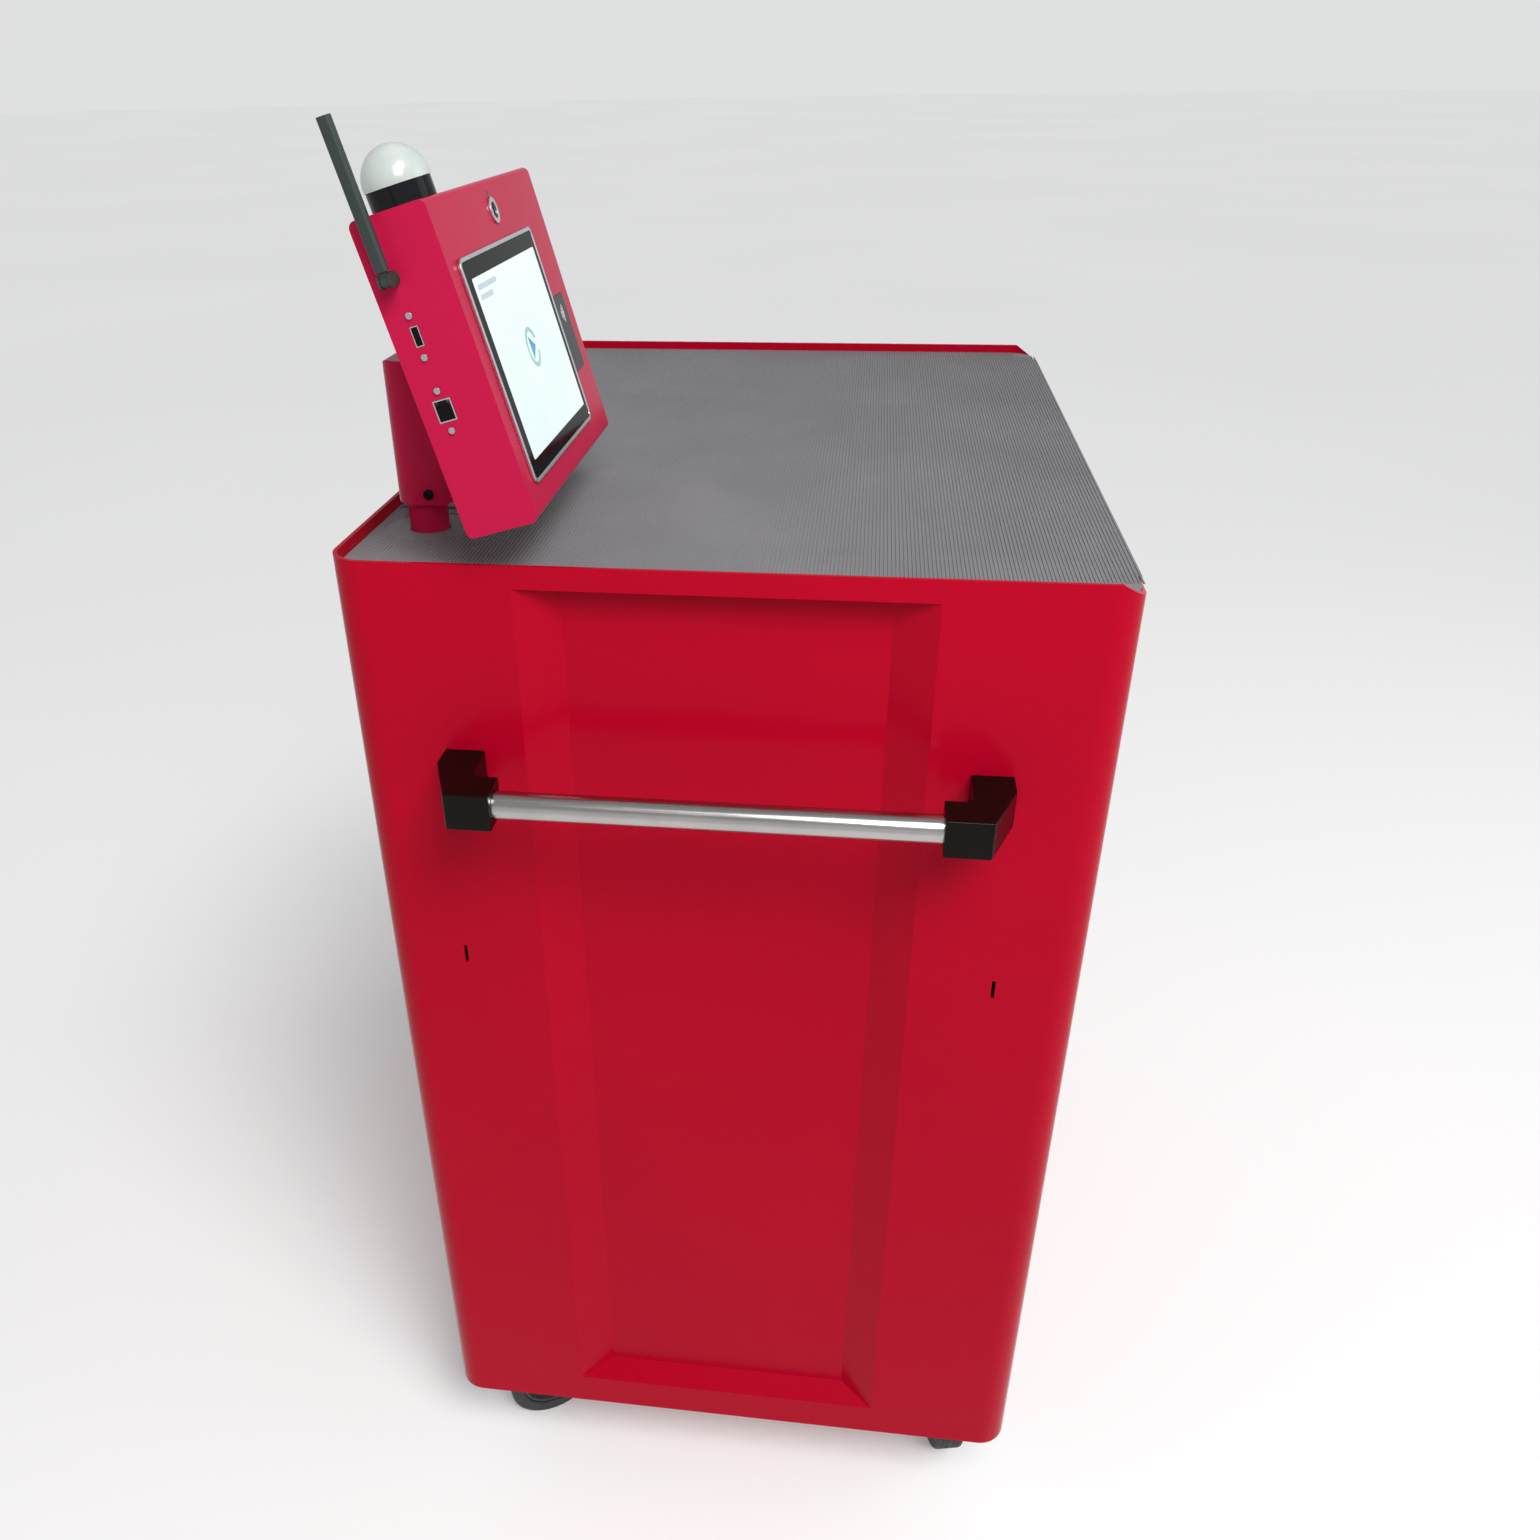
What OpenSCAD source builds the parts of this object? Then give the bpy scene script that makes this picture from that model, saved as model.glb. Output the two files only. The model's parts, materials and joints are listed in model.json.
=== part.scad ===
// Mobile tool cabinet with a touch terminal on a swivel post.
// Frame: +Z up, drawer fronts face -Y, the push handle is on the -X end.
// The origin is on the floor, under the middle of the body. Sizes are in millimetres.

/* [Body] */
// Length of the body, end panel to end panel
body_l = 860; // [700:5:1100]
// Depth of the body, drawer fronts to back panel
body_w = 600; // [500:5:740]
// Height of the body, lower edge to the top of the lip
body_h = 965; // [800:5:1160]
// Radius of the four rounded upright corners
corner_r = 28; // [22:1:36]
// Thickness of the steel sheet
sheet = 2; // [1.6:0.1:3]
// Height of the lip above the mat
lip_h = 8.5; // [6:0.5:20]
// Thickness of the folded hem along the lip
hem_t = 3.2; // [2.4:0.2:4.4]
// Run of the slope where each end lip falls to the front edge
lip_run = 21; // [12:1:26]
// Thickness of the ribbed mat
mat_t = 5; // [3:0.5:8]
// Width of each front post, measured from the end of the body
post_w = 46; // [40:1:60]
// Depth of the inward flange on each front post
post_flange = 28; // [20:1:30]

/* [End panel pressing] */
// Width of the pressing at the panel's face
press_w = 314; // [240:2:330]
// Depth of the pressing
press_d = 18; // [8:1:24]
// Width of its slanted side walls
press_side = 33; // [12:1:50]
// Height of its slanted bottom wall
press_end = 16; // [8:1:40]
// Lower edge of the pressing above the body's lower edge
press_low = 39; // [25:1:90]
// Upper edge of the pressing below the top of the lip
press_top = 18; // [18:1:90]
// Height of its slanted top wall
press_head = 8; // [4:1:40]

/* [Hook slots] */
// Distance between the two hook slots on each end panel
hook_span = 453; // [400:1:470]
// Height of the hook slots' middle above the body's lower edge
hook_z = 608; // [300:1:700]
// Width of a hook slot
hook_w = 3; // [2:0.5:5]
// Length of a hook slot
hook_h = 18; // [10:1:30]

/* [Push handle] */
// Diameter of the handle bar
bar_d = 22; // [16:1:26]
// Wall of the handle bar
bar_wall = 2; // [1.5:0.5:3]
// Distance from the end panel to the bar's axis
bar_out = 57; // [45:1:80]
// Height of the bar's axis below the top of the lip
bar_drop = 169; // [120:1:300]
// Clear length of the bar between its brackets
bar_clear = 336; // [240:2:350]
// Depth the bar goes into each bracket
bar_seat = 16; // [8:1:20]
// Height and depth of a bracket's block
block_s = 31; // [28:1:36]
// Width of a bracket's arm
arm_w = 32.5; // [22:0.5:34]
// Distance from the bar end's face to the arm's inner face
arm_in = 21.5; // [18:0.5:28]
// How far a bracket tapers inward from its arm to its front face
block_cut = 19; // [8:1:20]
// Length of that taper, measured back from the front face
block_taper = 49.5; // [20:0.5:60]

/* [Drawers] */
// Gap around the drawer fronts
front_gap = 3; // [2:0.5:5]
// Thickness of a drawer front
front_d = 18; // [16:1:24]
// Sheet thickness of the drawers
drawer_t = 1.5; // [1:0.1:2]
// Room behind the drawers' trays, up to the back of the body
rear_room = 82; // [60:1:200]
// Height of the top rail above the drawers
top_rail = 30; // [20:1:60]
// Height of the bottom rail below the drawers
bottom_rail = 45; // [30:1:80]
// Height of the recessed drawer pull
pull_h = 40; // [34:1:50]
// Height of the pull's front lip
pull_lip = 22; // [14:1:26]
// Wall of the pull
pull_t = 2.5; // [2:0.1:3.5]

/* [Drawer slides] */
// Width of a pair of slide members
slide_w = 13; // [12:0.5:16]
// Height of the fixed slide member
slide_h = 45; // [35:1:50]
// Thickness of the slide members
slide_t = 1.5; // [1.2:0.1:2]
// Height of the slides' middle above the drawer's lower edge
slide_z = 36; // [32:1:44]

/* [Casters] */
// Height of a caster's top plate above its wheel
caster_top = 30; // [24:1:60]
// How far the body's lower edge hangs below the casters' top face
skirt = 5; // [0:1:12]
// Diameter of a wheel
wheel_d = 100; // [80:1:125]
// Width of a wheel's tread
wheel_w = 32; // [26:1:38]
// Distance from the swivel axis to the wheel's axle
trail = 35; // [28:1:40]
// Distance of the casters from the ends of the body
caster_in_x = 65; // [60:1:110]
// Distance of the casters from the front and back of the body
caster_in_y = 50; // [48:1:100]
// Radius of a wheel axle
axle_r = 6; // [4:0.5:8]

/* [Terminal] */
// Width of the terminal's case
case_w = 267; // [220:1:320]
// Height of the terminal's case
case_h = 213; // [180:1:260]
// Depth of the terminal's case
case_d = 54; // [44:1:66]
// Backward tilt of the terminal
tilt = 15.8; // [5:0.1:25]
// Radius of the case's rounded edges
case_r = 5; // [2:0.5:8]
// Wall of the case
case_t = 2.5; // [2:0.1:4]
// Height of the case's front lower edge above the mat
case_up = 49.5; // [40:0.5:100]
// Width of the screen's frame
screen_w = 194; // [160:1:200]
// Height of the screen's frame
screen_h = 152; // [120:1:160]
// Distance of the screen's frame from the case's side and from its bottom
screen_in = [17, 21];
// Distance from the post's axis to the case's front lower edge
case_reach = 126; // [110:1:160]

/* [Post] */
// Radius of the post
post_r = 16; // [12:0.5:20]
// Wall of the post
post_wall = 3; // [2:0.5:4]
// Distance of the post's axis from the handle end
post_in_x = 112; // [90:1:240]
// Distance of the post's axis from the back
post_in_y = 48; // [40:1:120]
// Height of the collar's lower edge above the mat
collar_up = 23.5; // [15:0.5:60]
// Height of the wedge bracket
bracket_h = 110; // [80:1:130]
// Wall of the wedge bracket around the post
bracket_t = 5; // [4:0.5:8]

/* [Hidden] */

$fn = 64;
// Colours
red = [0.75, 0.05, 0.15];
black = [0.06, 0.06, 0.06];
steel = [0.72, 0.73, 0.75];
grey = [0.36, 0.36, 0.38];

// Clearances: between fixed sheets, round the mat, of a running shaft, of a moving face
seam = 0.3;
mat_gap = 0.6;
run = 0.05;
free = 0.3;
// Cuts pass through a face by this much
over = 1;

// Heights above the floor
caster_h = wheel_d + caster_top;
z0 = caster_h - skirt;
z_lip = z0 + body_h;
z_mat = z_lip - lip_h;
z_pan = z_mat - mat_t;
floor_t = 3;
z_floor = caster_h + floor_t;

// Half sizes of the body and of the drawer opening
hx = body_l / 2;
hy = body_w / 2;
open_x = hx - post_w;

// Drawers, from the top: the share that each front has of the opening's height
share = [3, 3.5, 4, 5, 6];
count = len(share);
share_sum = sum_to(count);
open_low = z0 + bottom_rail;
open_high = z_pan - top_rail;
open_h = open_high - open_low - (count + 1) * front_gap;
function sum_to(n) = n == 0 ? 0 : share[n - 1] + sum_to(n - 1);
function front_h(i) = open_h * share[i - 1] / share_sum;
function front_low(i) = open_high - i * front_gap - open_h * sum_to(i) / share_sum;
front_x = open_x - front_gap;
tray_x = open_x - slide_w;
tray_y0 = -hy + front_d;
tray_y1 = hy - rear_room;
tray_up = 6;
tray_drop = 28;

// Slides: inner member, start and end along Y
slide_half = slide_h / 2;
inner_half = slide_half - slide_t - free;
slide_y0 = -hy + post_flange + 4;
slide_y1 = tray_y1;
slide_reach = 9;

// Uprights that carry the slides
upright_w = 30;
upright_d = 34;
upright_front = slide_y0 + 6;
upright_rear = slide_y1 - upright_w - 6;

// Lock bar behind the drawers: travel, and the catch on each drawer
lock_w = 25;
lock_t = 3;
lock_x = tray_x * 0.7;
lock_y = tray_y1 + 12;
catch_z = 20;
catch_d = 9;
catch_t = 2;
catch_h = 9;
lock_lift = 2;
weld = 0.02;
guide_up = 62;

// Casters: swivel bearing and fork
plate_l = 100;
plate_w = 84;
plate_t = 3;
bolt_x = 38;
bolt_y = 30;
race_r = 30;
race_h = 8;
pin_r = 6;
pin_head_r = 10;
pin_head_h = 3;
crown_top = caster_h - plate_t - race_h - free;
crown_low = wheel_d + 5;
fork_in = wheel_w / 2 + 3;
fork_t = 3;
boss_r = 13;
hub_half = fork_in - free;
caster_x = hx - caster_in_x;
caster_y = hy - caster_in_y;
brake_x = trail + 13;
brake_z = crown_low + 2;
brake_r = 3;
pedal_l = 52;
pedal_t = 4;
pedal_w = 2 * fork_in - 4;

// Screws, size M8: shank, head, hole
screw_r = 4;
screw_hole = 4.3;
screw_head_r = 6.5;
screw_head_h = 5;
screw_l = 18;

// Handle
bar_x = -hx - bar_out;
bar_z = z_lip - bar_drop;
bar_half = bar_clear / 2;
arm_y = bar_half + arm_in + arm_w / 2;
arm_screw = 8;

// Post and terminal
px = -hx + post_in_x;
py = hy - post_in_y;
collar_r = post_r + bracket_t;
collar_z = z_mat + collar_up;
collar_h = 16;
post_top = collar_z + 62;
post_flange_r = 34;
post_flange_t = 3;
bracket_top = collar_z + bracket_h;
bracket_wall = 2.5;
bracket_r = 8;
bracket_ease = 0.5;
case_x = px - case_w / 2;
case_y = py - case_reach;
case_z = z_mat + case_up;
back_y = case_y + case_d * cos(tilt);
back_z = case_z - case_d * sin(tilt);
function back_at(z) = back_y + (z - back_z) * tan(tilt);

// Terminal details, as [across from the left, up] on the front and [back, up] on the left side
frame_t = 3;
frame_out = 2.5;
frame_r = 7;
camera_at = [screen_in[0] + 0.62 * screen_w, screen_in[1] + screen_h + 19];
camera_r = 7;
reader_w = 34;
reader_h = 60;
reader_at = [screen_in[0] + screen_w + 4, screen_in[1] + 37];
port_k = case_d * 0.67;
usb_z = case_h * 0.645;
lan_z = case_h * 0.414;
usb_s = [5.8, 13.2];
lan_s = [13, 15];
port_screw = 13.5;
antenna_at = [case_d * 0.7, case_h * 0.82];
antenna_l = 96.5;
antenna_w = 9;
antenna_t = 7;
fold_u = -13;
ear_r = 4.5;
beacon_at = [50, case_d - 23.5];
beacon_r = 22.5;
beacon_h = 12.5;
dome_r = 23.3;
dome_up = 1.5;
dome_t = 2;
dome_seat = 1.5;
board_k = 22;
board_t = 1.6;

// A box from its lowest to its highest corner
module block(lo, hi) {
    translate(lo) cube(hi - lo);
}

// A rounded rectangle about the origin
module plan(l, w, r) {
    square([l - 2 * r, w], center = true);
    square([l, w - 2 * r], center = true);
    for (x = [-1, 1], y = [-1, 1]) translate([x * (l / 2 - r), y * (w / 2 - r)]) circle(r);
}

// The body's outline, shrunk by inset
module body_plan(inset) {
    plan(body_l - 2 * inset, body_w - 2 * inset, corner_r - inset);
}

// A pyramid cut off square, along X: half width, low and high edge at each end
module taper_x(x0, half0, low0, high0, x1, half1, low1, high1) {
    polyhedron(
        points = [
            [x0, -half0, low0], [x0, half0, low0], [x0, half0, high0], [x0, -half0, high0],
            [x1, -half1, low1], [x1, half1, low1], [x1, half1, high1], [x1, -half1, high1]
        ],
        faces = [[0, 1, 2, 3], [7, 6, 5, 4], [1, 0, 4, 5], [2, 1, 5, 6], [3, 2, 6, 7], [0, 3, 7, 4]]
    );
}

// ---------- body ----------

// The end panel's outline: the end, two rounded corners and two returns
module end_plan(t) {
    intersection() {
        difference() {
            body_plan(0);
            body_plan(t);
        }
        translate([-hx - over, -hy - over]) square([post_w + over, body_w + 2 * over]);
    }
}

// The pressing as a solid: grown by the sheet for its outside, or as its hollow
module pressing(grow, x0, x1) {
    low = z0 + press_low;
    high = z_lip - press_top;
    half = press_w / 2;
    side = press_side / press_d;
    rise = press_end / press_d;
    fall = press_head / press_d;
    a = x0 + hx;
    b = x1 + hx;
    taper_x(
        x0, half + grow - a * side, low - grow + a * rise, high + grow - a * fall,
        x1, half + grow - b * side, low - grow + b * rise, high + grow - b * fall
    );
}

// Two slots for a hook-on rack
module hook_slots() {
    for (y = [-1, 1])
        translate([-hx, y * hook_span / 2, z0 + hook_z])
            cube([4 * sheet, hook_w, hook_h], center = true);
}

module end_panel() {
    slope = atan((z_lip - z_pan) / lip_run);
    difference() {
        union() {
            translate([0, 0, z0]) linear_extrude(z_pan - z0) end_plan(sheet);
            translate([0, 0, z_pan - sheet]) linear_extrude(z_lip - z_pan + sheet) end_plan(hem_t);
            pressing(sheet, -hx + sheet / 2, -hx + press_d + sheet);
            block([-open_x - sheet, -hy, caster_h], [-open_x, -hy + post_flange, z_pan - sheet - seam]);
        }
        pressing(0, -hx - over, -hx + press_d);
        hook_slots();
        translate([-hx - over, -hy, z_pan]) rotate([slope, 0, 0])
            translate([0, -lip_run, 0]) cube([post_w + 2 * over, 3 * lip_run, 3 * lip_run]);
    }
}

module handle_side_panel() {
    color(red) difference() {
        end_panel();
        for (y = [-1, 1], z = [-1, 1])
            translate([-hx - over, y * arm_y, bar_z + z * arm_screw])
                rotate([0, 90, 0]) cylinder(r = screw_hole, h = sheet + 2 * over);
    }
}

module plain_side_panel() {
    color(red) mirror([1, 0, 0]) end_panel();
}

module back_panel() {
    color(red) difference() {
        union() {
            block([-open_x + seam, hy - sheet, z0], [open_x - seam, hy, z_lip]);
            block([-open_x + seam, hy - hem_t, z_pan - sheet], [open_x - seam, hy, z_lip]);
            for (s = [-1, 1])
                translate([s * open_x, hy - 1.5 * sheet, (z0 + z_pan) / 2])
                    cube([24, sheet, z_pan - z0 - 60], center = true);
            for (i = [1, count])
                block(
                    [lock_x - 8, lock_y - 2, front_low(i) + guide_up],
                    [lock_x + lock_w + 8, hy - sheet, front_low(i) + guide_up + sheet]
                );
        }
        for (i = [1, count])
            block(
                [lock_x - free, lock_y - free, front_low(i)],
                [lock_x + lock_w + free, lock_y + lock_t + free, front_low(i) + 2 * guide_up]
            );
        translate([inlet_x, hy, inlet_z]) cube([inlet_w, 4 * sheet, inlet_h], center = true);
    }
}

module base_pan() {
    color(red) difference() {
        union() {
            translate([0, 0, caster_h]) linear_extrude(floor_t) body_plan(sheet + seam);
            block([-open_x + seam, -hy, z0], [open_x - seam, -hy + sheet, z0 + bottom_rail]);
            block([-open_x + seam, -hy, caster_h], [open_x - seam, -hy + post_flange, z_floor]);
        }
        for (s = [-1, 1])
            block(
                [s > 0 ? open_x - seam : -hx, -hy, caster_h - over],
                [s > 0 ? hx : -open_x + seam, -hy + post_flange + seam, z_floor + over]
            );
        caster_holes();
    }
}

module caster_holes() {
    for (x = [-1, 1], y = [-1, 1], a = [-1, 1], b = [-1, 1])
        translate([x * caster_x + a * bolt_x, y * caster_y + b * bolt_y, caster_h - over])
            cylinder(r = screw_hole, h = floor_t + 2 * over);
}

module top_pan() {
    color(red) difference() {
        union() {
            translate([0, 0, z_pan - sheet]) linear_extrude(sheet) body_plan(hem_t + seam);
            block([-open_x + seam, -hy, z_pan - top_rail], [open_x - seam, -hy + sheet, z_pan]);
            block([-open_x + seam, -hy, z_pan - sheet], [open_x - seam, -hy + post_flange, z_pan]);
        }
        translate([px, py, z_pan - sheet - over]) cylinder(r = post_r + run, h = sheet + 2 * over);
        cable_slot(z_pan - sheet - over, z_pan + over, slot_w - 2);
    }
}

// A slot beside the post for the terminal's lead
slot_w = 8;
slot_x = px + 50;
module cable_slot(low, high, w) {
    block([slot_x - w / 2, py - 20, low], [slot_x + w / 2, hy - hem_t - 2, high]);
}

module work_mat() {
    color(grey) difference() {
        translate([0, 0, z_pan]) linear_extrude(mat_t) {
            body_plan(hem_t + mat_gap);
            translate([-open_x, -hy]) square([2 * open_x, hy]);
        }
        translate([px, py, z_pan - over]) cylinder(r = post_r + mat_gap, h = mat_t + 2 * over);
        cable_slot(z_pan - over, z_mat + over, slot_w);
    }
}

// ---------- uprights and slides ----------

module upright(y) {
    block([-open_x - sheet, y, z_floor], [-open_x, y + upright_w, z_pan - sheet]);
    for (k = [y, y + upright_w - sheet])
        block([-open_x - upright_d, k, z_floor], [-open_x, k + sheet, z_pan - sheet]);
}

module runner_uprights() {
    color(steel) for (m = [0, 1], y = [upright_front, upright_rear])
        mirror([m, 0, 0]) upright(y);
}

// A channel along Y with its web at x0 to x1 and its flanges reaching to x2
module channel(x0, x1, x2, z, half) {
    block([x0, slide_y0, z - half], [x1, slide_y1, z + half]);
    for (s = [-1, 1])
        block(
            [min(x0, x2), slide_y0, s > 0 ? z + half - slide_t : z - half],
            [max(x1, x2), slide_y1, s > 0 ? z + half : z - half + slide_t]
        );
}

module cabinet_slides() {
    color(steel) for (i = [1:count], m = [0, 1])
        mirror([m, 0, 0])
            channel(open_x - slide_t, open_x, open_x - slide_reach, front_low(i) + slide_z, slide_half);
}

module drawer_slides(i) {
    color(steel) for (m = [0, 1])
        mirror([m, 0, 0])
            channel(tray_x, tray_x + slide_t, tray_x + slide_reach, front_low(i) + slide_z, inner_half);
}

// ---------- drawers ----------

module drawer(i) {
    low = front_low(i);
    high = low + front_h(i);
    wall = high - tray_drop;
    color(red) {
        block([-front_x, -hy, low], [front_x, -hy + drawer_t, high - pull_h]);
        block([-front_x, -hy, low], [front_x, tray_y0, low + drawer_t]);
        block([-front_x, tray_y0 - drawer_t, low], [front_x, tray_y0, high]);
        for (x = [-front_x, front_x - drawer_t]) block([x, -hy, low], [x + drawer_t, tray_y0, high]);
        block([-tray_x, tray_y0 - drawer_t, low + tray_up], [tray_x, tray_y1, low + tray_up + drawer_t]);
        block([-tray_x, tray_y1 - drawer_t, low + tray_up], [tray_x, tray_y1, wall]);
        for (x = [-tray_x, tray_x - drawer_t])
            block([x, tray_y0 - drawer_t, low + tray_up], [x + drawer_t, tray_y1, wall]);
        drawer_catch(low + catch_z);
    }
}

// The hook at the back of a drawer that the lock bar holds
module drawer_catch(z) {
    end = tray_y1 + catch_d;
    block([lock_x, tray_y1 - drawer_t, z], [lock_x + lock_w, end, z + catch_t]);
    block([lock_x, end - catch_t, z], [lock_x + lock_w, end, z + catch_h]);
}

// The recessed pull: a trough with a rounded front lip
module pull_profile() {
    back = front_d - drawer_t;
    square([pull_t, pull_lip]);
    square([back, pull_t]);
    translate([back - pull_t, 0]) square([pull_t, pull_h]);
    translate([pull_t, pull_lip]) circle(pull_t);
}

module drawer_pull(i) {
    half = front_x - drawer_t;
    color(steel) translate([-half, -hy, front_low(i) + front_h(i) - pull_h])
        rotate([90, 0, 90]) linear_extrude(2 * half) pull_profile();
}

// ---------- lock and power ----------

module lock_bar() {
    color(steel) {
        block(
            [lock_x, lock_y, front_low(count) + catch_z],
            [lock_x + lock_w, lock_y + lock_t, front_low(1) + 1.6 * guide_up]
        );
        for (i = [1:count]) lock_tab(front_low(i) + catch_z + catch_h + lock_lift);
    }
}

// A tab welded to the bar by its back edge, which drops in front of a drawer's hook
module lock_tab(z) {
    tip = tray_y1 + 2;
    top = z + catch_h + 1;
    block([lock_x, tip, top - catch_t], [lock_x + lock_w, lock_y - weld, top]);
    block([lock_x, tip, z], [lock_x + lock_w, tip + catch_t + 0.4, top]);
}

module lock_actuator() {
    z = front_low(2) + 0.55 * front_h(2);
    y = lock_y + lock_t + free;
    color(black) {
        block([lock_x - 12, y, z], [lock_x + lock_w + 12, hy - sheet - 6, z + 60]);
        block([lock_x - 24, hy - sheet - 6, z - 4], [lock_x + lock_w + 24, hy - sheet, z + 64]);
    }
}

battery_w = 240;
battery_h = 140;
module battery_box() {
    y0 = tray_y1 + catch_d + 6;
    y1 = hy - sheet - 8;
    color(black) translate([-battery_w / 2 - inlet_w, (y0 + y1) / 2, z_floor]) {
        linear_extrude(battery_h - 8) plan(battery_w, y1 - y0, 4);
        translate([0, 0, battery_h - 8]) linear_extrude(8) plan(battery_w - 6, y1 - y0 - 6, 3);
    }
}

inlet_x = 0;
inlet_z = z0 + 90;
inlet_w = 28;
inlet_h = 21;
module power_inlet() {
    color(black) difference() {
        union() {
            translate([inlet_x, hy - 8, inlet_z]) cube([inlet_w - 1, 22, inlet_h - 1], center = true);
            translate([inlet_x, hy + 1.5, inlet_z]) cube([50, 3, 31], center = true);
        }
        translate([inlet_x, hy - 4, inlet_z]) cube([inlet_w - 4, 24, inlet_h - 4], center = true);
    }
    color(steel) for (x = [-1, 0, 1])
        translate([inlet_x + x * 7, hy - 8, inlet_z]) cube([1.8, 20, 3.6], center = true);
}

// ---------- push handle ----------

module handle_bar() {
    half = bar_half + bar_seat;
    color(steel) translate([bar_x, half, bar_z]) rotate([90, 0, 0]) difference() {
        cylinder(r = bar_d / 2, h = 2 * half);
        translate([0, 0, -over]) cylinder(r = bar_d / 2 - bar_wall, h = 2 * half + 2 * over);
    }
}

// A bracket at +Y: an arm off the panel and a block that turns in to hold the bar
module handle_bracket() {
    arm0 = bar_half + arm_in;
    arm1 = arm0 + arm_w;
    front = bar_out + block_s / 2;
    color(black) difference() {
        translate([-hx, 0, bar_z - block_s / 2]) linear_extrude(block_s) polygon([
            [0, arm0], [0, arm1], [block_taper - front, arm1], [-front, arm1 - block_cut],
            [-front, bar_half], [block_s - front, bar_half], [block_s - front, arm0 - 6],
            [block_s - front + 6, arm0]
        ]);
        translate([bar_x, bar_half + bar_seat + 0.5, bar_z]) rotate([90, 0, 0])
            cylinder(r = bar_d / 2 + run, h = bar_seat + 0.5 + over);
        for (z = [-1, 1]) translate([-hx + over, arm_y, bar_z + z * arm_screw])
            rotate([0, -90, 0]) cylinder(r = screw_r + run, h = screw_l - sheet + 2);
    }
}

module handle_bracket_rear() {
    handle_bracket();
}

module handle_bracket_front() {
    mirror([0, 1, 0]) handle_bracket();
}

// A screw along +Z with its head's seat at z = 0, head below
module screw() {
    cylinder(r = screw_r, h = screw_l);
    translate([0, 0, -screw_head_h]) difference() {
        cylinder(r = screw_head_r, h = screw_head_h);
        translate([0, 0, -over]) cylinder(r = screw_r * 0.75, h = screw_head_h * 0.5 + over, $fn = 6);
    }
}

module m8_screws() {
    color(steel) {
        for (y = [-1, 1], z = [-1, 1]) translate([-hx + sheet, y * arm_y, bar_z + z * arm_screw])
            rotate([0, -90, 0]) screw();
        for (x = [-1, 1], y = [-1, 1], a = [-1, 1], b = [-1, 1])
            translate([x * caster_x + a * bolt_x, y * caster_y + b * bolt_y, caster_h - plate_t])
                screw();
    }
}

// ---------- casters ----------

module top_plate() {
    difference() {
        translate([-plate_l / 2, -plate_w / 2, caster_h - plate_t]) cube([plate_l, plate_w, plate_t]);
        for (a = [-1, 1], b = [-1, 1])
            translate([a * bolt_x, b * bolt_y, caster_h - plate_t - over])
                cylinder(r = screw_hole, h = plate_t + 2 * over);
    }
}

// Moves a caster drawn about the origin to its place; turn is the way it trails
module at_caster(sx, sy, turn) {
    translate([sx * caster_x, sy * caster_y, 0]) rotate([0, 0, turn]) children();
}

module swivel_plates() {
    color(steel) for (y = [-1, 1]) at_caster(-1, y, 0) {
        top_plate();
        translate([0, 0, caster_h - plate_t - race_h]) cylinder(r = race_r, h = race_h);
        translate([0, 0, crown_low - free]) cylinder(r = pin_r, h = caster_h - crown_low - plate_t);
        translate([0, 0, crown_low - free - pin_head_h]) cylinder(r = pin_head_r, h = pin_head_h);
    }
}

// One leg of a fork: from the crown round the axle, with an ear for the brake
module leg_profile(ear) {
    axle = wheel_d / 2;
    polygon([
        [-24, crown_low], [-24, crown_top], [24, crown_top], [ear, crown_top - 2],
        [ear, crown_low - 8], [trail + boss_r, axle], [trail - boss_r, axle]
    ]);
    translate([trail, axle]) circle(boss_r);
}

module swivel_fork() {
    color(steel) difference() {
        union() {
            translate([0, 0, crown_low]) cylinder(r = race_r, h = crown_top - crown_low);
            for (y = [-fork_in - fork_t, fork_in]) translate([0, y + fork_t, 0])
                rotate([90, 0, 0]) linear_extrude(fork_t) leg_profile(brake_x + 10);
        }
        translate([0, 0, crown_low - over]) cylinder(r = pin_r + run, h = crown_top - crown_low + 2 * over);
        translate([trail, 0, wheel_d / 2]) rotate([90, 0, 0])
            cylinder(r = axle_r + run, h = 2 * fork_in + 4 * fork_t, center = true);
        translate([brake_x, 0, brake_z]) rotate([90, 0, 0])
            cylinder(r = brake_r + run, h = 2 * fork_in + 4 * fork_t, center = true);
    }
}

// Axle bolt with a hexagon head and a nut
module axle(x) {
    half = fork_in + fork_t;
    translate([x, 0, wheel_d / 2]) rotate([90, 0, 0]) {
        cylinder(r = axle_r, h = 2 * half, center = true);
        for (z = [half, -half - 5]) translate([0, 0, z]) cylinder(r = axle_r * 1.7, h = 5, $fn = 6);
    }
}

// Wheel: a rounded tread, a web and a hub about the axle
module wheel(x) {
    r = wheel_d / 2;
    color(black) translate([x, 0, r]) rotate([90, 0, 0]) rotate_extrude() difference() {
        union() {
            translate([axle_r + run, -hub_half]) square([8, 2 * hub_half]);
            translate([axle_r + run, -wheel_w / 4]) square([r - 10 - axle_r, wheel_w / 2]);
            translate([r - 16, -wheel_w / 2]) square([12, wheel_w]);
            translate([r - 5, -wheel_w / 2 + 5]) square([5, wheel_w - 10]);
            for (y = [-1, 1]) translate([r - 5, y * (wheel_w / 2 - 5)]) circle(5);
        }
        translate([0, -wheel_w]) square([axle_r + run, 2 * wheel_w]);
    }
}

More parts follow.
